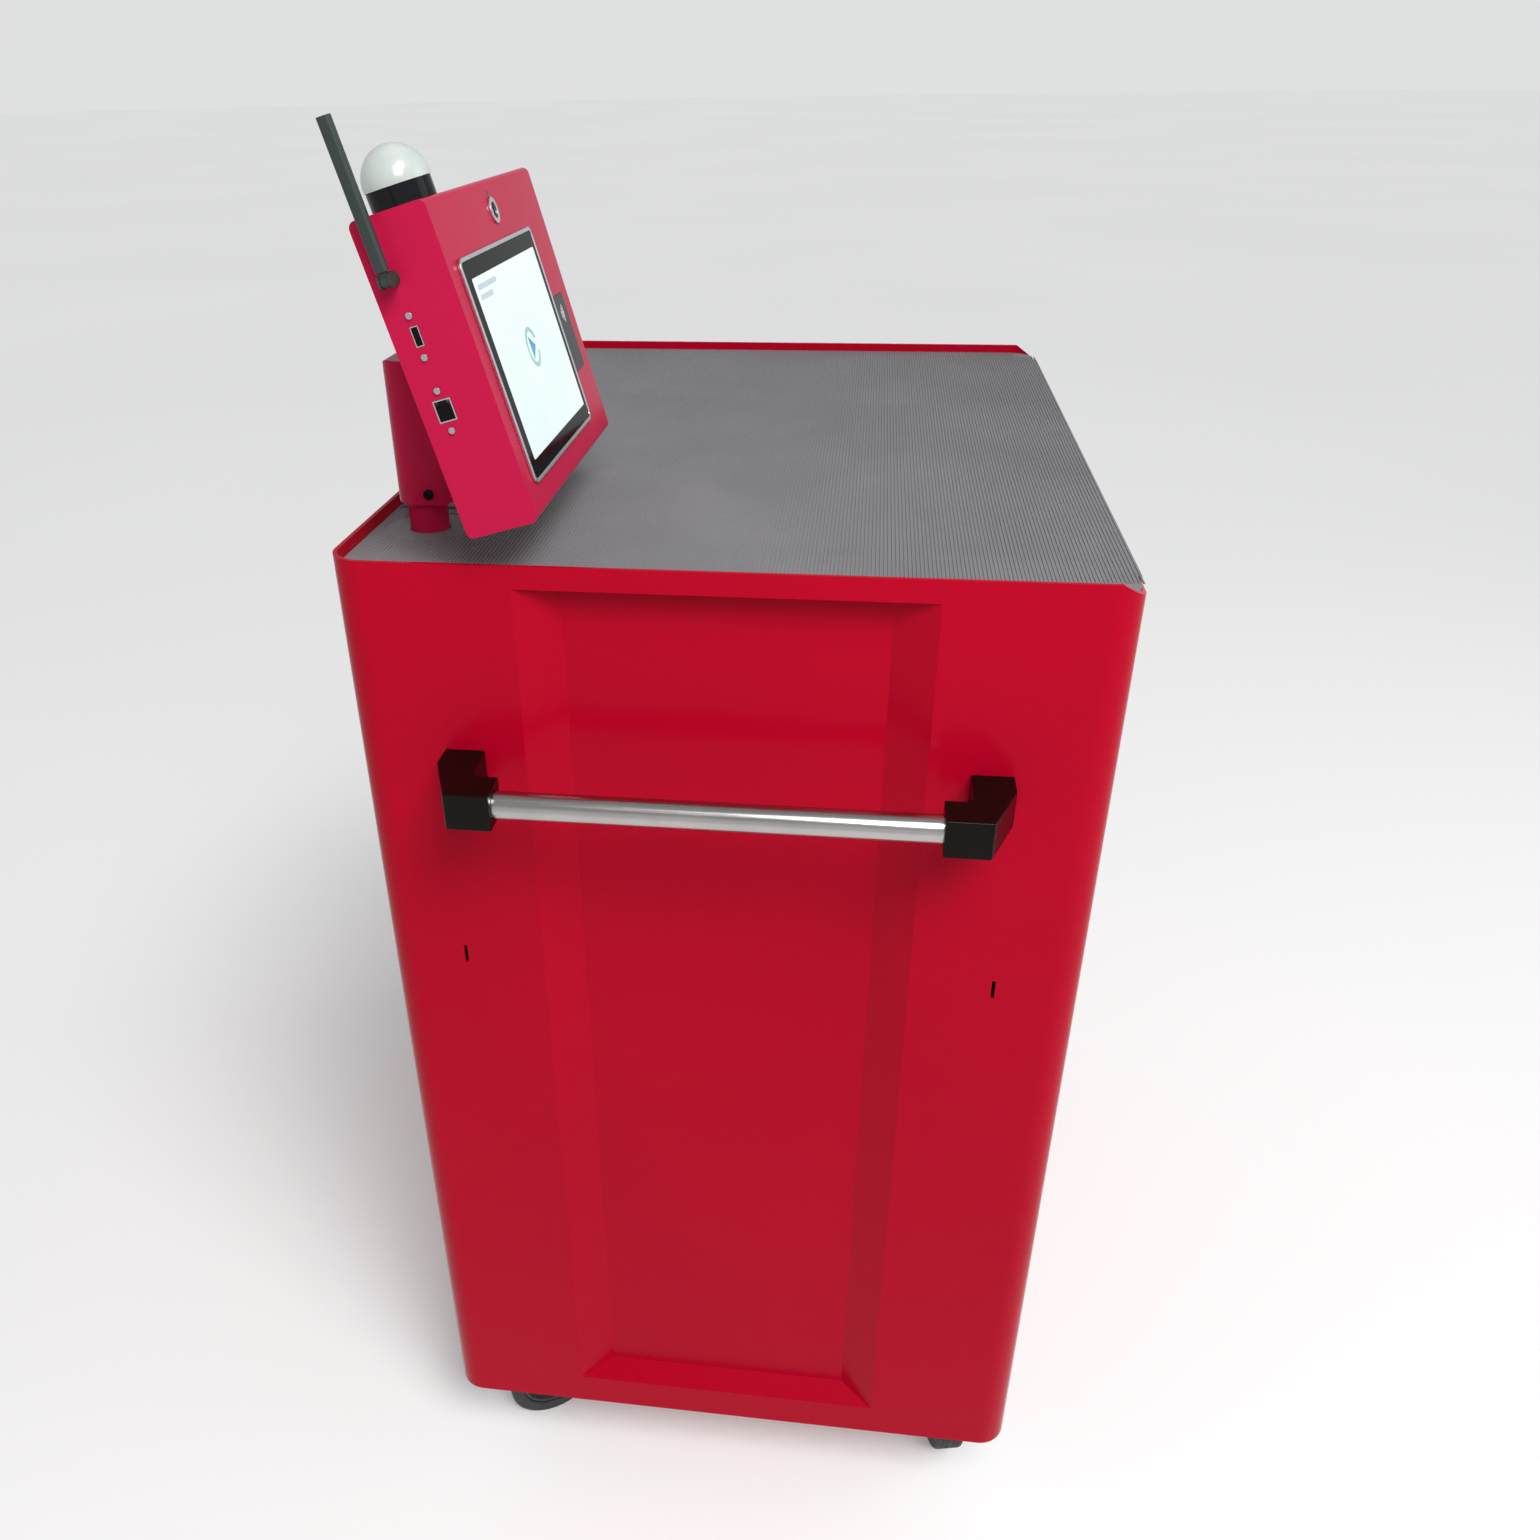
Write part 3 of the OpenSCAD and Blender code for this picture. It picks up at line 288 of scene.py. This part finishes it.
def refine(node, width, angle=30, segments=2, material=None, clamp=True):
    """A copy of a CAD node with its sharp edges rounded, which stands for the node."""
    mesh = to_mesh(welded(node), node + "_looks")
    obj = piece(node + "_looks", mesh, BODY_OF[node], SLOT_OF[node], material, (node,))
    return soften(obj, width, angle, segments, clamp)


def lathe(bm, profile, place, steps=64):
    """Turns (radius, height) points about the local Z axis of place; a radius of 0 closes an end."""
    rings = []
    for radius, height in profile:
        if radius < 1e-7:
            rings.append([bm.verts.new(place @ Vector((0, 0, height)))])
            continue
        turns = [2 * math.pi * k / steps for k in range(steps)]
        points = [Vector((radius * math.cos(a), radius * math.sin(a), height)) for a in turns]
        rings.append([bm.verts.new(place @ p) for p in points])
    for low, high in zip(rings, rings[1:]):
        for k in range(steps):
            j = (k + 1) % steps
            quad = [low[k % len(low)], low[j % len(low)], high[j % len(high)], high[k % len(high)]]
            unique = list(dict.fromkeys(quad))
            if len(unique) > 2:
                bm.faces.new(unique)


def arc(cx, cy, radius, start, end, steps):
    """Points along an arc, angles in degrees."""
    turns = [math.radians(start + (end - start) * k / steps) for k in range(steps + 1)]
    return [(cx + radius * math.cos(a), cy + radius * math.sin(a)) for a in turns]


def prism(bm, outline, low, high, place):
    """A closed plate: an outline in the local XY plane, from z = low to high."""
    under = [bm.verts.new(place @ Vector((x, y, low))) for x, y in outline]
    over = [bm.verts.new(place @ Vector((x, y, high))) for x, y in outline]
    bm.faces.new(under[::-1])
    bm.faces.new(over)
    for k in range(len(outline)):
        j = (k + 1) % len(outline)
        bm.faces.new((under[k], under[j], over[j], over[k]))


def rounded_outline(x0, y0, x1, y1, radius, steps=6):
    points = []
    for cx, cy, start in (
        (x1 - radius, y1 - radius, 0), (x0 + radius, y1 - radius, 90),
        (x0 + radius, y0 + radius, 180), (x1 - radius, y0 + radius, 270)
    ):
        points += arc(cx, cy, radius, start, start + 90, steps)
    return points


# ---------- ribbed mat ----------

RIB_PITCH = 3 * MM
RIB_WIDTH = 1.7 * MM
RIB_RISE = 0.7 * MM
MAT_CORNER = 25 * MM
SLOT_AHEAD = 50 * MM
SLOT_HALF = 4.3 * MM
SLOT_BEHIND = 24 * MM
POST_GAP = 1.2 * MM
SHORTEST_RIB = 2 * MM


def ribbed_mat():
    """The slab, lowered by the ribs' rise, with fine ribs along X cut to the mat's outline."""
    low, high = (Vector(c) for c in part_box("work_mat"))
    bm = welded("work_mat")
    for v in bm.verts:
        if v.co.z > high.z - MM:
            v.co.z = high.z - RIB_RISE
    piece("work_mat_slab", to_mesh(bm, "work_mat_slab"), "cabinet", "mat_rubber", None, ("work_mat",))

    post_low, post_high = (Vector(c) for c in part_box("swivel_post"))
    post = (post_low + post_high) / 2
    clear = (post_high.x - post_low.x) / 2 + POST_GAP
    bm = bmesh.new()
    for k in range(int((high.y - low.y) / RIB_PITCH)):
        y = low.y + (k + 0.5) * RIB_PITCH
        spans = [mat_span(y, low, high)]
        for hole in mat_holes(y, post, clear):
            spans = [part for s in spans for part in cut_span(s, hole)]
        for a, b in spans:
            if b - a > SHORTEST_RIB:
                rib(bm, a, b, y, high.z)
    piece("work_mat_ribs", to_mesh(bm, "work_mat_ribs"), "cabinet", "mat_rubber")


def mat_span(y, low, high):
    """The mat's two ends along X at this y, drawn in at its rounded rear corners."""
    inset = 0.0
    if y > high.y - MAT_CORNER:
        inset = MAT_CORNER - math.sqrt(max(0.0, MAT_CORNER ** 2 - (y - high.y + MAT_CORNER) ** 2))
    if y < low.y + MAT_CORNER:
        inset = MAT_CORNER
    return (low.x + inset + MM, high.x - inset - MM)


def mat_holes(y, post, clear):
    """Stretches along X that the post's hole and the lead slot take out at this y."""
    holes = []
    if abs(y - post.y) < clear:
        half = math.sqrt(clear ** 2 - (y - post.y) ** 2)
        holes.append((post.x - half, post.x + half))
    if y > post.y - SLOT_BEHIND:
        holes.append((post.x + SLOT_AHEAD - SLOT_HALF, post.x + SLOT_AHEAD + SLOT_HALF))
    return holes


def cut_span(span, hole):
    a, b = span
    if hole[1] <= a or hole[0] >= b:
        return [span]
    return [s for s in ((a, hole[0]), (hole[1], b)) if s[1] > s[0]]


def rib(bm, x0, x1, y, top):
    """One closed rib with a trapezoid section."""
    foot, crest, base = RIB_WIDTH / 2, RIB_WIDTH * 0.3, top - RIB_RISE - 0.1 * MM
    section = [(y - foot, base), (y - crest, top), (y + crest, top), (y + foot, base)]
    near = [bm.verts.new((x0, v, z)) for v, z in section]
    far = [bm.verts.new((x1, v, z)) for v, z in section]
    for k in range(4):
        j = (k + 1) % 4
        bm.faces.new((near[k], near[j], far[j], far[k]))
    bm.faces.new(near[::-1])
    bm.faces.new(far)


# ---------- terminal ----------

ACROSS = Vector((1, 0, 0))
UP = Vector((0, math.sin(TILT), math.cos(TILT)))
OUT = ACROSS.cross(UP)


def terminal_axes(across, up):
    """Axes on the terminal from its lower left front corner: the plane across and up, Z out of it."""
    corners = [v.co for v in NODES["terminal_case"].data.vertices]
    left = min(c.dot(ACROSS) for c in corners)
    low = min(c.dot(UP) for c in corners)
    front = max(c.dot(OUT) for c in corners)
    turn = Matrix((across, up, across.cross(up))).transposed().to_4x4()
    return Matrix.Translation(ACROSS * left + UP * low + OUT * front) @ turn


def plate(name, outline, low, high, slot, material):
    """A thin plate on the terminal's face; sizes in millimetres, low and high out of the face."""
    bm = bmesh.new()
    prism(bm, [(x * MM, y * MM) for x, y in outline], low * MM, high * MM, terminal_axes(ACROSS, UP))
    return piece(name, to_mesh(bm, name), "terminal", slot, material)


def band(cx, cy, inner, outer, start, end):
    """Outline of an arc-shaped band."""
    steps = 16
    return arc(cx, cy, outer, start, end, steps) + arc(cx, cy, inner, end, start, steps)


# Millimetres on the terminal: across from its left side, up from its lower edge, out of its face.
# Each jack is (up, width, height), PORTS_BACK behind the face, and a profile is (radius, out).
GLASS_OUT = 1.9
READER_OUT = 0.38
LIGHT_UP = GLASS_OUT + 0.1
SCREEN_AREA = (32, 35, 201.5, 158.5)
SCREEN_BARS = ((150, 46), (143.5, 30))
ICON_AT = (116, 98)
READER_AT = (225.5, 103)
CAMERA_AT = (137.28, 192)
SENSOR_AT = (137.28, 203)
PORTS_BACK = 36.18
USB = (137.4, 4.4, 11.8)
LAN = (88.2, 11.2, 13.2)
PORT_DEPTHS = (-0.9, -0.3)
LENS_PROFILE = (
    (0, -2.6), (5.3, -2.6), (5.3, -0.2), (5.1, 0.0), (4.2, 0.1), (3.6, -0.5),
    (3.4, -0.7), (2.6, -0.35), (1.4, -0.05), (0, 0.05)
)
SENSOR_PROFILE = ((0, -0.38), (1.9, -0.38), (1.9, -0.1), (1.5, 0.05), (0, 0.1))


def screen_marks():
    """The lit area with two bars and a ring with a pointer, and the reader's three arcs."""
    area = rounded_outline(*SCREEN_AREA, 1.5)
    plate("screen_area", area, GLASS_OUT, LIGHT_UP, "screen", "screen_light")
    for k, (z, width) in enumerate(SCREEN_BARS):
        outline = rounded_outline(38, z, 38 + width, z + 3.6, 1.7)
        plate(f"screen_bar_{k + 1}", outline, LIGHT_UP, LIGHT_UP + 0.03, "screen", "screen_soft")
    ring = band(*ICON_AT, 11, 14.5, 20, 340)
    plate("icon_ring", ring, LIGHT_UP, LIGHT_UP + 0.04, "screen", "icon_green")
    u, z = ICON_AT
    pointer = [(u - 5, z - 8.5), (u + 8, z), (u - 5, z + 8.5)]
    plate("icon_mark", pointer, LIGHT_UP, LIGHT_UP + 0.04, "screen", "icon_blue")
    for k, radius in enumerate((3, 6.2, 9.4)):
        outline = band(*READER_AT, radius, radius + 1.3, -42, 42)
        plate(f"reader_arc_{k + 1}", outline, READER_OUT, READER_OUT + 0.08, "gloss_black", "white_mark")


def keyed_outline(x0, z0, width, tall):
    """A network jack's opening: a rectangle with a narrower notch above it."""
    step = z0 + tall * 0.7
    left, right = x0 + width * 0.25, x0 + width * 0.75
    return [
        (x0, z0), (x0 + width, z0), (x0 + width, step), (right, step),
        (right, z0 + tall), (left, z0 + tall), (left, step), (x0, step)
    ]


def port_insides():
    """Dark insides behind the two jacks in the terminal's left side."""
    flank = terminal_axes(OUT, UP)
    low, high = (depth * MM for depth in PORT_DEPTHS)
    for name, (z, width, tall) in (("usb_inside", USB), ("lan_inside", LAN)):
        x0, z0 = -PORTS_BACK - width / 2, z - tall / 2
        outline = rounded_outline(x0, z0, x0 + width, z0 + tall, 0.4)
        if name == "lan_inside":
            outline = keyed_outline(x0, z0, width, tall)
        bm = bmesh.new()
        prism(bm, [(x * MM, y * MM) for x, y in outline], low, high, flank)
        piece(name, to_mesh(bm, name), "terminal", "silver_trim", "black_plastic")


def turned_glass(name, at, profile):
    """A small round window on the terminal's face."""
    bm = bmesh.new()
    place = terminal_axes(ACROSS, UP) @ Matrix.Translation((at[0] * MM, at[1] * MM, 0))
    lathe(bm, [(r * MM, z * MM) for r, z in profile], place)
    soften(piece(name, to_mesh(bm, name), "terminal", "silver_trim", "lens"), 0.05 * MM)


# ---------- wheels ----------

WHEELS = {
    "swivel_wheel_rear": "caster_rear_spin", "swivel_wheel_front": "caster_front_spin",
    "rigid_wheel_rear": "rigid_rear_spin", "rigid_wheel_front": "rigid_front_spin"
}
TYRE_HALF = 16 * MM
SHOULDER = 4.8 * MM
SEAT = 14.5 * MM
GROOVES = (3, 6, 9)
GROOVE_DEPTH = 0.9 * MM


def turned_ring(node, part, half_section, place, material, rounding):
    """A closed ring that stands for a CAD wheel; its section is one half and that half mirrored."""
    ring = half_section + [(r, -z) for r, z in half_section[::-1]]
    name = f"{node}_{part}"
    bm = bmesh.new()
    lathe(bm, ring + [ring[0]], place, 96)
    bmesh.ops.remove_doubles(bm, verts=bm.verts, dist=1e-6)
    obj = piece(name, to_mesh(bm, name), BODY_OF[node], "wheel_rubber", material, (node,))
    soften(obj, rounding)


def tyre_section(radius):
    """Half of a tyre's section: the grooved tread, the shoulder and the side wall."""
    tread = [(radius, 0.5 * MM)]
    for z in GROOVES:
        tread += [
            (radius, (z - 0.6) * MM), (radius - GROOVE_DEPTH, (z - 0.3) * MM),
            (radius - GROOVE_DEPTH, (z + 0.3) * MM), (radius, (z + 0.6) * MM)
        ]
    side = arc(radius - SHOULDER, TYRE_HALF - SHOULDER, SHOULDER, 0, 90, 8)
    return tread + side + [(radius - 14 * MM, TYRE_HALF), (radius - 15.5 * MM, TYRE_HALF - 1.5 * MM)]


def hub_section(bore, half, rim):
    """Half of a hub's section: the boss round the bore, the sunk web and the rim."""
    edge = TYRE_HALF - 2.5 * MM
    return [
        (bore + 0.02 * MM, half), (bore + 7 * MM, half), (bore + 8 * MM, half - MM),
        (bore + 8.5 * MM, TYRE_HALF / 2), (rim - 5 * MM, TYRE_HALF / 2), (rim - 3.5 * MM, edge), (rim, edge)
    ]


def wheels():
    """Each CAD wheel becomes a tyre with a grooved tread and a hub with a raised boss."""
    for node, joint in WHEELS.items():
        axis = Vector(JOINTS[joint]["axis"]).normalized()
        centre = Vector(JOINTS[joint]["pos_m"])
        place = Matrix.Translation(centre) @ axis.to_track_quat("Z", "Y").to_matrix().to_4x4()
        points = [v.co - centre for v in NODES[node].data.vertices]
        half = max(abs(p.dot(axis)) for p in points)
        reaches = [(p - axis * p.dot(axis)).length for p in points]
        radius, bore = max(reaches), min(reaches)
        turned_ring(node, "tyre", tyre_section(radius), place, None, 0.2 * MM)
        turned_ring(node, "hub", hub_section(bore, half, radius - SEAT), place, "hub_plastic", 0.4 * MM)


# ---------- studio and camera ----------

CAMERA_PLACE = (-1.2995, -0.0971, 1.4077)
HEADING, PITCH, ROLL = (math.radians(angle) for angle in (7.994, -30.262, 0.966))
LENS = 29.92
SHIFT = (0.051, 0.0234)


def camera():
    """Stands at the handle end, looking along the cabinet and down at it."""
    data = bpy.data.cameras.new("camera")
    data.lens = LENS
    data.shift_x, data.shift_y = SHIFT
    data.clip_start = 0.01
    obj = bpy.data.objects.new("camera", data)
    bpy.context.collection.objects.link(obj)
    level = Vector((math.cos(HEADING), math.sin(HEADING), 0))
    ahead = level * math.cos(PITCH) + Vector((0, 0, math.sin(PITCH)))
    side = ahead.cross(Vector((0, 0, 1))).normalized()
    up = side.cross(ahead)
    up_rolled = up * math.cos(ROLL) + side * math.sin(ROLL)
    turn = Matrix((ahead.cross(up_rolled), up_rolled, -ahead)).transposed().to_4x4()
    obj.matrix_world = Matrix.Translation(CAMERA_PLACE) @ turn
    bpy.context.scene.camera = obj


def light(name, kind, at, aim, power, **values):
    data = bpy.data.lights.new(name, kind)
    data.energy = power
    for key, value in values.items():
        setattr(data, key, value)
    obj = bpy.data.objects.new(name, data)
    bpy.context.collection.objects.link(obj)
    obj.location = at
    obj.rotation_euler = (Vector(aim) - Vector(at)).to_track_quat("-Z", "Y").to_euler()


def sky():
    """A soft room: brighter low down, where the floor meets it, and dimmer overhead."""
    world = bpy.data.worlds.new("studio")
    world.use_nodes = True
    tree = world.node_tree
    place = tree.nodes.new("ShaderNodeTexCoord")
    split = tree.nodes.new("ShaderNodeSeparateXYZ")
    ramp = tree.nodes.new("ShaderNodeValToRGB")
    tree.links.new(place.outputs["Generated"], split.inputs["Vector"])
    tree.links.new(split.outputs["Z"], ramp.inputs["Fac"])
    tree.links.new(ramp.outputs["Color"], tree.nodes["Background"].inputs["Color"])
    stops = ((0.04, (0.74, 0.75, 0.745, 1)), (0.42, (0.32, 0.325, 0.33, 1)))
    for element, (height, color) in zip(ramp.color_ramp.elements, stops):
        element.position = height
        element.color = color
    bpy.context.scene.world = world


def studio():
    """A pale floor that runs out to a pale sky, a soft sun, a lamp by the handle and a side fill."""
    bpy.ops.mesh.primitive_circle_add(vertices=128, radius=60, fill_type="NGON", location=(0, 0, 0))
    floor = bpy.context.object
    floor.name = "studio_floor"
    g = Graph("studio_floor")
    tint = g.ramp(g.noise(0.3, 2), (0.3, 0.75), (0.7, 0.77))
    g.link(tint, g.shader.inputs["Emission Color"])
    finished = g.finish(tint, None, None, Roughness=0.9, Specular_IOR_Level=0.0, Emission_Strength=0.22)
    floor.data.materials.append(finished)
    sky()
    light("key", "SUN", (-1.6, -1.5, 3.4), (0, 0, 0.6), 1.5, angle=math.radians(24))
    light("lamp", "AREA", (-1.7, -0.5, 2.4), (-0.4, 0, 0.9), 30, shape="RECTANGLE", size=0.9, size_y=0.9)
    light("side", "AREA", (0.2, -2.8, 2.2), (0, 0, 0.8), 16, shape="RECTANGLE", size=1.6, size_y=1.6)
    scene = bpy.context.scene
    scene.view_settings.view_transform = "Standard"
    scene.view_settings.look = "None"


# ---------- the object ----------

# Bevels are in millimetres, and SHALLOW holds the bevel's angle limit where it isn't 30 degrees.
# The terminal, its back, the wedge bracket and the swivel post take the pinker red with the painted sheen.
SHEEN_PAINTED = ("terminal_case", "terminal_back", "wedge_bracket", "swivel_post")
SHALLOW = {"handle_side_panel": 9}
ROUNDED = {
    "handle_side_panel": 0.5,
    "terminal_case": 0.9, "terminal_back": 0.4, "wedge_bracket": 0.9, "screen_frame": 0.5,
    "reader_window": 0.25, "camera_module": 0.3, "beacon_base": 0.5, "antenna_base": 0.4,
    "antenna_paddle": 0.6, "handle_bracket_rear": 1.2, "handle_bracket_front": 1.2,
    "swivel_lock_screw": 0.3, "swivel_fork_rear": 0.5, "swivel_fork_front": 0.5, "rigid_forks": 0.5,
    "swivel_plates": 0.4, "brake_pedal_rear": 0.6, "brake_pedal_front": 0.6, "battery_box": 0.8,
    "lock_actuator": 0.8, "power_inlet": 0.4, "port_screws": 0.2, "m8_screws": 0.4
}

camera()
studio()
for name, obj in NODES.items():
    obj.data.materials.clear()
    obj.data.materials.append(MATERIALS["red_terminal_sheen" if name in SHEEN_PAINTED else SLOT_OF[name]])
ribbed_mat()
screen_marks()
port_insides()
turned_glass("camera_lens", CAMERA_AT, LENS_PROFILE)
turned_glass("light_sensor", SENSOR_AT, SENSOR_PROFILE)
wheels()
for name, width in ROUNDED.items():
    paint = "red_terminal_sheen" if name in SHEEN_PAINTED else None
    refine(name, width * MM, SHALLOW.get(name, 30), 3, paint, "handle_bracket" not in name)
for k in range(1, DRAWERS + 1):
    refine(f"drawer_{k}", 0.5 * MM)
    refine(f"drawer_pull_{k}", 0.4 * MM)
